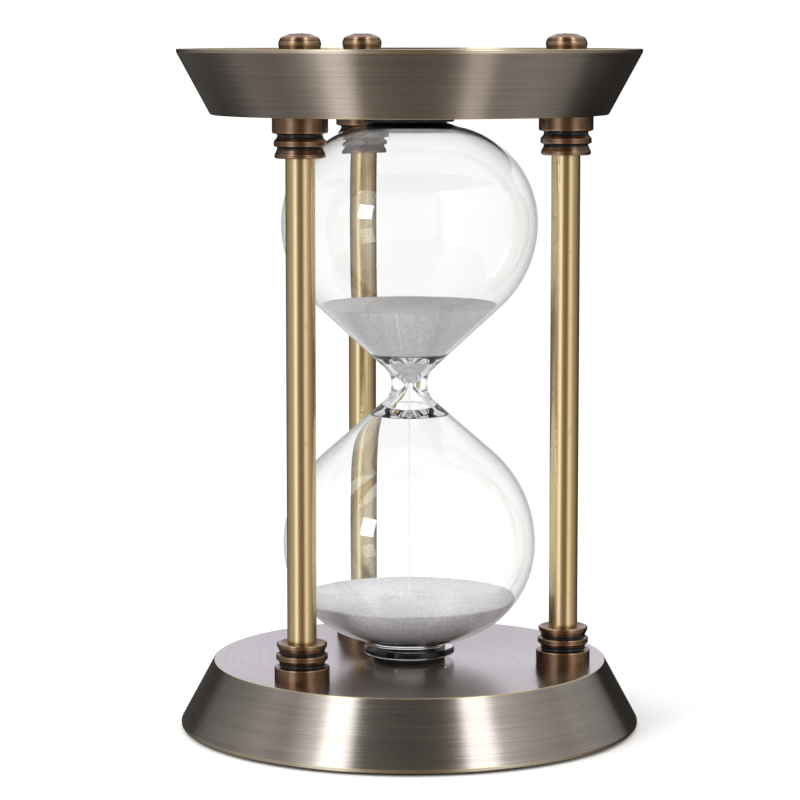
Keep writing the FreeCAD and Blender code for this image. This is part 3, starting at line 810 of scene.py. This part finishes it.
class HOURGLASS_OT_end_plates(bpy.types.Operator):
    """Build both conical shells and the top cover"""

    bl_idname = "hourglass.end_plates"
    bl_label = "End plates"

    def execute(self, context):
        settings = context.scene.hourglass_plates
        shell_brass = brushed_brass("plate_brass", settings)
        cover_brass = brushed_brass("cover_brass", settings)
        section = plate_outline(settings)
        top_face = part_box("top_shell")[0].z
        base_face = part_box("base_shell")[1].z
        top = turned_piece("top_plate", raised(section, top_face), turns=WIDE_TURN_STEPS)
        install(top, "top_shell", shell_brass)
        upside_down = flipped(raised(section, base_face), base_face)
        base = turned_piece("base_plate", upside_down, turns=WIDE_TURN_STEPS)
        install(base, "base_shell", shell_brass)
        low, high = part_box("top_cover")
        flat = disc_outline(high.x, high.z - low.z, 0.25 * MM)
        lid = turned_piece("lid", raised(flat, low.z), turns=WIDE_TURN_STEPS)
        install(lid, "top_cover", cover_brass)
        return {"FINISHED"}


class HOURGLASS_OT_pillars(bpy.types.Operator):
    """Build the three round pillars"""

    bl_idname = "hourglass.pillars"
    bl_label = "Pillars"

    def execute(self, context):
        brass = satin_brass(context.scene.hourglass_pillars)
        for place in PLACES:
            node = place + "_pillar"
            low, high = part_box(node)
            rod_shape = disc_outline((high.x - low.x) / 2, high.z - low.z, 0.35 * MM, spacing=6 * MM)
            rod = turned_piece(place + "_rod", raised(rod_shape, low.z), middle(node), turns=SMALL_TURN_STEPS)
            install(rod, node, brass)
        return {"FINISHED"}


class HOURGLASS_OT_collars(bpy.types.Operator):
    """Build the six turned collars"""

    bl_idname = "hourglass.collars"
    bl_label = "Collars"

    def execute(self, context):
        settings = context.scene.hourglass_collars
        copper = antique_copper("antique_copper", settings)
        for place in PLACES:
            rod_low, rod_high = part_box(place + "_pillar")
            socket = (rod_high.x - rod_low.x) / 2 + SOCKET_PLAY
            for side in ("lower", "upper"):
                node = place + "_" + side + "_collar"
                low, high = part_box(node)
                section = raised(collar_outline(settings, socket, high.z - low.z), low.z)
                if side == "upper":
                    section = flipped(section, (low.z + high.z) / 2)
                ring = turned_piece(
                    place + "_" + side + "_ring", section, middle(node), closed=True, turns=SMALL_TURN_STEPS
                )
                install(ring, node, copper)
        return {"FINISHED"}


class HOURGLASS_OT_screws(bpy.types.Operator):
    """Build the three pan screws with a cross recess in their heads"""

    bl_idname = "hourglass.screws"
    bl_label = "Top screws"

    def execute(self, context):
        settings = context.scene.hourglass_collars
        copper = antique_copper("screw_copper", settings, gold=0.16)
        for number, place in enumerate(PLACES):
            node = place + "_top_screw"
            screw = pan_screw(place + "_pan_screw", node, settings, 0.4 + 1.1 * number)
            install(screw, node, copper)
        return {"FINISHED"}


def pan_screw(name, node, settings, turn):
    """A screw as one surface of revolution whose crown is pushed down in a cross, turned by an angle: the
    depth is the recess depth times a smooth step of the distance to the nearer wing's centre line, and
    times one that ends the wings. The deep part of the recess is painted black as painted shade."""
    low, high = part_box(node)
    head_radius = (high.x - low.x) / 2
    head = high.z - settings.head_height
    shank = 2.95 * MM
    corners = [
        (0.0, low.z, 0.0),
        (shank, low.z, 0.5 * MM),
        (shank, head, 0.15 * MM),
        (head_radius - 0.5 * MM, head, 0.8 * MM),
        (head_radius, head + 2.6 * MM, 2.4 * MM),
        (head_radius * 0.88, high.z - 1.3 * MM, 1.9 * MM),
        (head_radius * 0.45, high.z - 0.1 * MM, 2.6 * MM),
        (0.0, high.z, 0.0),
    ]
    section = outline(corners, spacing=0.12 * MM)
    kept = np.ones(len(section), dtype=bool)
    on_shank = np.nonzero(section[:, 1] < head - 0.3 * MM)[0]
    kept[on_shank[8:-8]] = False
    screw = turned_piece(name, section[kept], middle(node), turns=200)
    local = local_places(screw)
    across = local[:, 0] * math.cos(turn) + local[:, 1] * math.sin(turn)
    along = local[:, 1] * math.cos(turn) - local[:, 0] * math.sin(turn)
    nearer = np.minimum(np.abs(across), np.abs(along))
    farther = np.maximum(np.abs(across), np.abs(along))
    wing_wall, wing_end = 0.2 * MM, 0.9 * MM
    wing = settings.recess_wing * (1.0 - 0.35 * farther / settings.recess_span)
    inside_wing = smooth_step((wing - nearer) / wing_wall + 0.5)
    inside_span = smooth_step((settings.recess_span - farther) / wing_end + 1 / 3)
    crown = local[:, 2] > head + 2.2 * MM
    depth = settings.recess_depth * inside_wing * inside_span * crown
    local[:, 2] -= depth
    move_points(screw, local, middle(node))
    # Painted shade: the cross recess turns black with its depth, fully black from 1.2 mm down.
    black_depth = 1.2 * MM
    paint = np.clip(depth / black_depth, 0.0, 1.0)
    screw.data.attributes["paint"].data.foreach_set("value", paint.astype(np.float32))
    return screw


def smooth_step(value):
    """0 below 0, 1 above 1, and 3 t^2 - 2 t^3 between them."""
    held = np.clip(value, 0.0, 1.0)
    return held * held * (3.0 - 2.0 * held)


class HOURGLASS_OT_rubber(bpy.types.Operator):
    """Build the gaskets below and above the glass, and the foot disc"""

    bl_idname = "hourglass.rubber"
    bl_label = "Rubber discs"

    def execute(self, context):
        rubber = black_rubber("black_rubber")
        foot_rubber = black_rubber("foot_rubber")
        for node, name, slot_name, skin in (
            ("lower_gasket", "lower_rubber_ring", "black_rubber", rubber),
            ("upper_gasket", "upper_rubber_ring", "black_rubber", rubber),
            ("foot_disc", "rubber_foot", "foot_rubber", foot_rubber),
        ):
            low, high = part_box(node)
            flat = disc_outline((high.x - low.x) / 2, high.z - low.z, 0.55 * MM)
            disc = turned_piece(name, raised(flat, low.z))
            install(disc, node, skin)
            let_lamps_light(disc)
        return {"FINISHED"}


class HOURGLASS_OT_glass(bpy.types.Operator):
    """Blow the glass: two bulbs, a thick waist, a foot disc and a flat crown"""

    bl_idname = "hourglass.glass"
    bl_label = "Glass"

    def execute(self, context):
        settings = context.scene.hourglass_glass
        low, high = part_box("glass_vessel")
        waist = waist_level(settings)
        outer = joined_at_waist(
            outer_half(settings, "lower", waist - low.z), outer_half(settings, "upper", high.z - waist)
        )
        inner = joined_at_waist(inner_half(settings, "lower", 0.0), inner_half(settings, "upper", 0.0))

        def ripple(angle, height):
            """Slow waves round and along the wall, fading out at the ends and at the waist."""
            rise = np.abs(height - waist)
            fade = smooth_step((rise - 14 * MM) / (20 * MM)) * smooth_step((84 * MM - rise) / (12 * MM))
            waves = np.sin(2 * angle + height * 70.0) + 0.6 * np.sin(3 * angle - height * 130.0 + 1.0)
            return settings.ripple * fade * (waves + 0.5 * np.sin(height * 260.0 + angle))

        outside, inside = (
            turned_piece(name, with_masks(raised(half, waist)), turns=WIDE_TURN_STEPS, shift=ripple)
            for name, half in (("outside", outer), ("inside", inner[::-1]))
        )
        with context.temp_override(
            active_object=outside, object=outside, selected_editable_objects=[outside, inside]
        ):
            bpy.ops.object.join()
        outside.name = "blown_glass"
        outside.data.name = "blown_glass"
        install(outside, "glass_vessel", clear_glass(settings))
        let_lamps_light(outside)
        return {"FINISHED"}


def waist_level(settings):
    """The height of the glass's waist."""
    base_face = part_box("base_shell")[1].z
    top_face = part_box("top_shell")[0].z
    return (base_face + top_face) / 2 + settings.waist_lift


class HOURGLASS_OT_sand(bpy.types.Operator):
    """Fill the sand: the upper funnel, the lower heap and the falling stream"""

    bl_idname = "hourglass.sand"
    bl_label = "Sand"

    def execute(self, context):
        glass = context.scene.hourglass_glass
        settings = context.scene.hourglass_sand
        lying = white_sand("white_sand", settings)
        falling = white_sand("falling_sand", settings, density=0.3)
        waist = waist_level(glass)
        for piece, node, sand in (
            (upper_sand(glass, waist), "upper_sand", lying),
            (lower_sand(glass, settings, waist), "lower_sand", lying),
            (sand_stream(), "sand_stream", falling),
        ):
            install(piece, node, sand)
            let_lamps_light(piece)
        return {"FINISHED"}


def sand_bumps(radius, angle, waves, rng):
    """A sum of slow waves over the surface, each as high as its weight, with random directions and
    phases."""
    across = radius * np.cos(angle)
    along = radius * np.sin(angle)
    total = np.zeros(np.broadcast(across, along).shape)
    for size, weight in waves:
        direction = rng.uniform(0, 2 * np.pi)
        phase = rng.uniform(0, 2 * np.pi)
        reach = across * np.cos(direction) + along * np.sin(direction)
        total = total + weight * np.sin(reach / size + phase)
    return total


def sand_surface(name, wall, level_at):
    """Closed heap: the wall's rings from the bottom up, then rings across the top to the middle. The top
    stands level_at(radius, angle) above the wall's end, fading out over the last 2 mm before the wall."""
    rim, level = wall[-1]
    inward = rim * np.linspace(1.0, 0.0, 90)[1:]
    top = np.stack([inward, np.full(len(inward), level)], axis=1)
    piece = turned_piece(name, with_masks(np.concatenate([wall, top])), turns=180)
    local = local_places(piece)
    reach = np.hypot(local[:, 0], local[:, 1])
    angle = np.arctan2(local[:, 1], local[:, 0])
    hair = 0.001 * MM
    on_top = (local[:, 2] > level - 0.1 * hair) & (reach < rim - hair)
    local[:, 2] += on_top * smooth_step((rim - reach) / (2.0 * MM)) * level_at(reach, angle)
    move_points(piece, local)
    piece.data.attributes["local"].data.foreach_set("vector", local.astype(np.float32).ravel())
    return piece


def closed_below(wall, waist):
    """The sand's side against the glass, moved up to the waist's height and closed by a flat bottom."""
    return raised(np.concatenate([[[0.0, wall[0, 1]]], wall]), waist)


def upper_sand(glass, waist):
    """Sand in the upper funnel, level but for slow waves of up to a quarter of a millimetre."""
    rng = np.random.default_rng(SEED)
    low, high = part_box("upper_sand")
    inside = inner_half(glass, "upper", SAND_GAP)
    wall = stretch_between(inside, low.z - waist + 0.1 * MM, high.z - waist - 0.35 * MM)

    def level_at(reach, angle):
        return 0.16 * MM * sand_bumps(reach, angle, [(5 * MM, 1.0), (2.2 * MM, 0.5)], rng)

    return sand_surface("funnel_sand", closed_below(wall, waist), level_at)


def lower_sand(glass, settings, waist):
    """Sand in the lower bulb with a small uneven mound in the middle, whose height falls off as
    exp(-1.2 (radius / (0.62 * mound radius * unevenness))^2)."""
    rng = np.random.default_rng(SEED + 1)
    _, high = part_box("lower_sand")
    drop = waist - high.z + 1.8 * MM
    inside = inner_half(glass, "lower", SAND_GAP)
    wall = stretch_between(inside, drop, inside[-1, 1] - 0.01 * MM)[::-1] * np.array([1.0, -1.0])

    def level_at(reach, angle):
        uneven = 1.0 + 0.25 * np.sin(3 * angle + 0.6) + 0.15 * np.sin(5 * angle + 2.0)
        mound = np.exp(-((reach / (settings.mound_radius * 0.62 * uneven)) ** 2) * 1.2)
        waves = sand_bumps(reach, angle, [(6 * MM, 1.0), (2.6 * MM, 0.6), (1.2 * MM, 0.3)], rng)
        return 1.45 * MM * mound + 0.14 * MM * waves

    return sand_surface("heap_sand", closed_below(wall, waist), level_at)


def sand_stream():
    """The falling thread of sand: a thin turned thread whose radius wavers, wider at the bottom."""
    rng = np.random.default_rng(SEED + 2)
    low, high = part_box("sand_stream")
    heights = np.linspace(low.z + 0.02 * MM, high.z - 0.02 * MM, 240)
    fall = (high.z - heights) / (high.z - low.z)
    waver = np.convolve(rng.uniform(-1.0, 1.0, len(heights) + 8), np.ones(9) / 9.0, mode="valid")
    radius = (high.x - low.x) / 2 * (0.42 + 0.30 * fall + 0.35 * waver)
    points = np.stack([radius, heights], axis=1)
    points = np.concatenate([[[0.0, heights[0]]], points, [[0.0, heights[-1]]]])
    return turned_piece("sand_thread", with_masks(points), turns=16)


class HOURGLASS_OT_hidden_hardware(bpy.types.Operator):
    """Give the hidden screws, sleeves and base cover their finishes"""

    bl_idname = "hourglass.hidden_hardware"
    bl_label = "Hidden hardware"

    def execute(self, context):
        plates = context.scene.hourglass_plates
        copper = plain_metal("base_screw_copper", (0.50, 0.30, 0.19), (0.22, 0.13, 0.08), 0.35)
        sleeve = plain_metal("turned_aluminium", (0.80, 0.80, 0.82), (0.62, 0.62, 0.64), 0.35)
        cover = plain_metal("base_cover_brass", tuple(plates.brass), tuple(plates.patina), 0.40)
        for place in PLACES:
            wear_finish(place + "_base_screw", copper)
            wear_finish(place + "_top_spacer", sleeve)
            wear_finish(place + "_base_spacer", sleeve)
        wear_finish("base_cover", cover)
        return {"FINISHED"}


def wear_finish(node, material):
    """Puts a material on a node's own slots."""
    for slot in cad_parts[node].material_slots:
        slot.material = material


class HOURGLASS_OT_stage(bpy.types.Operator):
    """Set the camera, the floor, the studio's light, two soft boxes and the overhead light"""

    bl_idname = "hourglass.stage"
    bl_label = "Stage"

    def execute(self, context):
        settings = context.scene.hourglass_stage
        set_camera(settings)
        set_floor(settings)
        set_backdrop(settings)
        for name, turn, power in (("left_soft_box", -40, 3.2), ("right_soft_box", 42, 0.7)):
            place = outward(settings.azimuth + math.radians(turn), 0.0) * 1.20 + Vector((0.0, 0.0, 0.53))
            area_light(name, "RECTANGLE", (0.28, 0.34), power, place, Vector((0.0, 0.0, 0.12)) - place)
        above = outward(settings.azimuth - math.radians(70), math.radians(50))
        overhead = area_light("overhead", "DISK", (0.7, 0.7), 4.0, above * 1.3, -above)
        overhead.visible_glossy = False
        context.scene.view_settings.view_transform = "Standard"
        return {"FINISHED"}


def outward(azimuth, elevation):
    """The direction from the object to a place at this azimuth and elevation."""
    flat = math.cos(elevation)
    return Vector((math.sin(azimuth) * flat, -math.cos(azimuth) * flat, math.sin(elevation)))


def set_camera(settings):
    """A camera that looks from its azimuth and elevation at the aim point."""
    data = bpy.data.cameras.new("camera")
    data.lens = settings.lens
    data.sensor_width = 36.0
    camera = bpy.data.objects.new("camera", data)
    back = outward(settings.azimuth, settings.elevation)
    camera.location = Vector(settings.aim) + back * settings.distance
    camera.rotation_euler = back.to_track_quat("Z", "Y").to_euler()
    bpy.context.scene.collection.objects.link(camera)
    bpy.context.scene.camera = camera


def set_floor(settings):
    """A large plain pale floor. Shiny metal doesn't mirror it, as a dark table edge would cut through
    the long highlights."""
    level = CAD_BOX[0][2]
    reach = 6.0
    mesh = bpy.data.meshes.new("floor")
    corners = [(x * reach, y * reach, level) for x, y in ((-1, -1), (1, -1), (1, 1), (-1, 1))]
    mesh.from_pydata(corners, [], [(0, 1, 2, 3)])
    floor = bpy.data.objects.new("floor", mesh)
    bpy.context.scene.collection.objects.link(floor)
    material, bench = new_material("paper")
    bench.surface(bench.principled({
        "Base Color": (*settings.paper, 1.0),
        "Roughness": 0.9,
        "Specular IOR Level": 0.1,
    }))
    mesh.materials.append(material)
    floor.visible_glossy = False
    let_lamps_light(floor)


def set_backdrop(settings):
    """A studio that is white behind and above the object. The light on matt surfaces falls from above
    and behind. What shiny metal mirrors is set by the direction halfway between the mirrored ray and the
    stage's camera direction, which is the normal of the metal that mirrors it: dark, with two bright
    strips, and an even tone for metal that faces up. The outside of clear glass mirrors half of that and
    half of the white."""
    world = bpy.data.worlds.new("studio")
    bpy.context.scene.world = world
    world.use_nodes = True
    bench = Bench(world.node_tree)
    east, north, up = bench.split(bench.node("ShaderNodeTexCoord").outputs["Generated"])
    front = outward(settings.azimuth, 0.0)
    across = east * -front.y + north * front.x
    towards = east * front.x + north * front.y
    even = bench.glow((1.0, 1.0, 1.0, 1.0), 1.10)
    matt = bench.glow((1.0, 0.995, 0.99, 1.0), (up - towards * 0.25).above(-0.2, 0.9) * 1.10 + 0.25)
    halfway = towards + math.cos(settings.elevation)
    climb = up + math.sin(settings.elevation)
    turn = bench.number("ShaderNodeMath", {"operation": "ARCTAN2"}, [across, halfway]) / math.pi + 0.5
    lift = climb / (across * across + halfway * halfway + climb * climb + 1e-6) ** 0.5
    tone = bench.blend((0.0 - lift).above(0.15, 0.40), strips(bench, turn, LEVEL), strips(bench, turn, DOWN))
    tone = bench.blend(lift.above(0.15, 0.40), tone, strips(bench, turn, UP))
    tone = bench.blend(lift.above(0.70, 0.90), tone, tuple(part / GAIN for part in FLAT_UP))
    mirrored = bench.glow(tone, GAIN)
    path = bench.node("ShaderNodeLightPath").outputs
    unmirrored = bench.mixed(path["Is Diffuse Ray"], even, matt)
    bounced = Wire(bench, path["Glossy Depth"]).held()
    off_glass = Wire(bench, path["Is Singular Ray"]) * Wire(bench, path["Is Glossy Ray"])
    seen = bench.mixed((bounced - off_glass * 0.5).held(), unmirrored, mirrored)
    bench.node("ShaderNodeOutputWorld", {}, {"Surface": seen})


# What metal mirrors: an even tone for metal that faces up, and (angle of its normal from the camera's
# direction in degrees, brightness, warmth) for metal that leans up, stands upright or leans down. A colour
# ramp holds at most 1, so that it is divided by the gain and the light is multiplied by it.
GAIN = 2.4
FLAT_UP = (0.82, 0.83, 0.96)
UP = (
    (-90, 0.01, 0.0), (-70, 0.01, 0.0), (-65, 0.15, -0.2), (-50, 0.27, -0.1), (-41, 0.42, -0.1),
    (-33, 0.33, -0.1), (-29, 0.6, -0.1), (-24, 1.0, -0.2), (-22.5, 2.3, -0.3), (-16, 2.3, -0.3),
    (-14, 0.13, 0.0), (0, 0.08, 0.0), (9, 0.11, 0.1), (13.5, 0.3, 0.0), (15, 2.2, -0.2), (21.5, 2.2, -0.2),
    (23.5, 0.7, -0.1), (33, 0.45, -0.1), (44, 0.34, 0.0), (48, 0.42, -0.1), (62, 0.33, -0.2),
    (68, 0.18, -0.2), (70, 0.01, 0.0), (90, 0.01, 0.0),
)
LEVEL = (
    (-90, 0.02, 0.0), (-74, 0.10, 0.2), (-58, 0.30, 0.2), (-42, 0.46, 0.2), (-29, 0.58, 0.1),
    (-24, 1.2, -0.2), (-17, 1.45, -0.3), (-12, 0.5, 0.2), (-5, 0.27, 1.0), (5, 0.21, 1.2), (10, 0.3, 0.8),
    (15, 1.0, 0.2), (22, 1.1, 0.0), (29, 0.60, 0.2), (42, 0.36, 0.4), (56, 0.16, 0.4), (68, 0.04, 0.3),
    (90, 0.01, 0.0),
)
DOWN = (
    (-90, 0.01, 0.0), (-64, 0.01, 0.0), (-56, 0.05, 0.0), (-46, 0.2, 0.1), (-36, 0.16, 0.1),
    (-29, 0.25, 0.3), (-24, 0.5, 0.3), (-21, 1.0, 0.2), (-16, 1.0, 0.2), (-13.5, 0.22, 0.5), (0, 0.14, 0.5),
    (9, 0.17, 0.5), (13.5, 0.3, 0.3), (15.5, 0.68, 0.3), (20, 0.64, 0.3), (22.5, 0.25, 0.2), (34, 0.3, 0.1),
    (47, 0.2, 0.1), (51, 0.06, 0.0), (60, 0.01, 0.0), (90, 0.01, 0.0),
)


def strips(bench, turn, stops):
    """A colour ramp from the left edge of the object to its right edge."""
    ramp = bench.node("ShaderNodeValToRGB", {}, [turn])
    bands = ramp.color_ramp.elements
    while len(bands) < len(stops):
        bands.new(0.5)
    for band, (angle, brightness, warmth) in zip(bands, stops):
        level = brightness / GAIN
        band.position = angle / 180 + 0.5
        band.color = (level, level * (1 - 0.22 * warmth), level * (1 - 0.42 * warmth), 1.0)
    return ramp.outputs[0]


def area_light(name, shape, size, power, place, facing):
    """A lamp with a broad face. It lights only glass, sand, rubber and the floor, as the metal mirrors
    the strips of the studio instead."""
    data = bpy.data.lights.new(name, "AREA")
    data.shape = shape
    data.size, data.size_y = size
    data.energy = power
    lamp = bpy.data.objects.new(name, data)
    lamp.location = place
    lamp.rotation_euler = facing.to_track_quat("-Z", "Y").to_euler()
    bpy.context.scene.collection.objects.link(lamp)
    lamp.light_linking.receiver_collection = lit_collection()
    return lamp


def lit_collection():
    """The collection of what the lamps light."""
    name = "soft_box_receivers"
    return bpy.data.collections.get(name) or bpy.data.collections.new(name)


def let_lamps_light(piece):
    """Adds a piece to what the lamps light."""
    lit_collection().objects.link(piece)


class HOURGLASS_PT_panel(bpy.types.Panel):
    """Lists the pieces of the hourglass"""

    bl_label = "Hourglass"
    bl_idname = "HOURGLASS_PT_panel"
    bl_space_type = "VIEW_3D"
    bl_region_type = "UI"
    bl_category = "Hourglass"

    def draw(self, context):
        for operator in OPERATORS:
            self.layout.operator(operator.bl_idname)
        for label in SETTINGS:
            box = self.layout.box()
            box.label(text=label)
            group = getattr(context.scene, label)
            for name in group.__annotations__:
                box.prop(group, name)


OPERATORS = (
    HOURGLASS_OT_stage,
    HOURGLASS_OT_end_plates,
    HOURGLASS_OT_pillars,
    HOURGLASS_OT_collars,
    HOURGLASS_OT_screws,
    HOURGLASS_OT_rubber,
    HOURGLASS_OT_glass,
    HOURGLASS_OT_sand,
    HOURGLASS_OT_hidden_hardware,
)
SETTINGS = {
    "hourglass_plates": PlateSettings,
    "hourglass_pillars": PillarSettings,
    "hourglass_collars": CollarSettings,
    "hourglass_glass": GlassSettings,
    "hourglass_sand": SandSettings,
    "hourglass_stage": StageSettings,
}


def register():
    for group in SETTINGS.values():
        bpy.utils.register_class(group)
    for name, group in SETTINGS.items():
        setattr(bpy.types.Scene, name, bpy.props.PointerProperty(type=group))
    for operator in OPERATORS:
        bpy.utils.register_class(operator)
    bpy.utils.register_class(HOURGLASS_PT_panel)


def unregister():
    bpy.utils.unregister_class(HOURGLASS_PT_panel)
    for operator in reversed(OPERATORS):
        bpy.utils.unregister_class(operator)
    for name in SETTINGS:
        delattr(bpy.types.Scene, name)
    for group in reversed(list(SETTINGS.values())):
        bpy.utils.unregister_class(group)


def main():
    register()
    bpy.ops.hourglass.stage()
    bpy.ops.hourglass.end_plates()
    bpy.ops.hourglass.pillars()
    bpy.ops.hourglass.collars()
    bpy.ops.hourglass.screws()
    bpy.ops.hourglass.rubber()
    bpy.ops.hourglass.glass()
    bpy.ops.hourglass.sand()
    bpy.ops.hourglass.hidden_hardware()


if __name__ == "__main__":
    main()
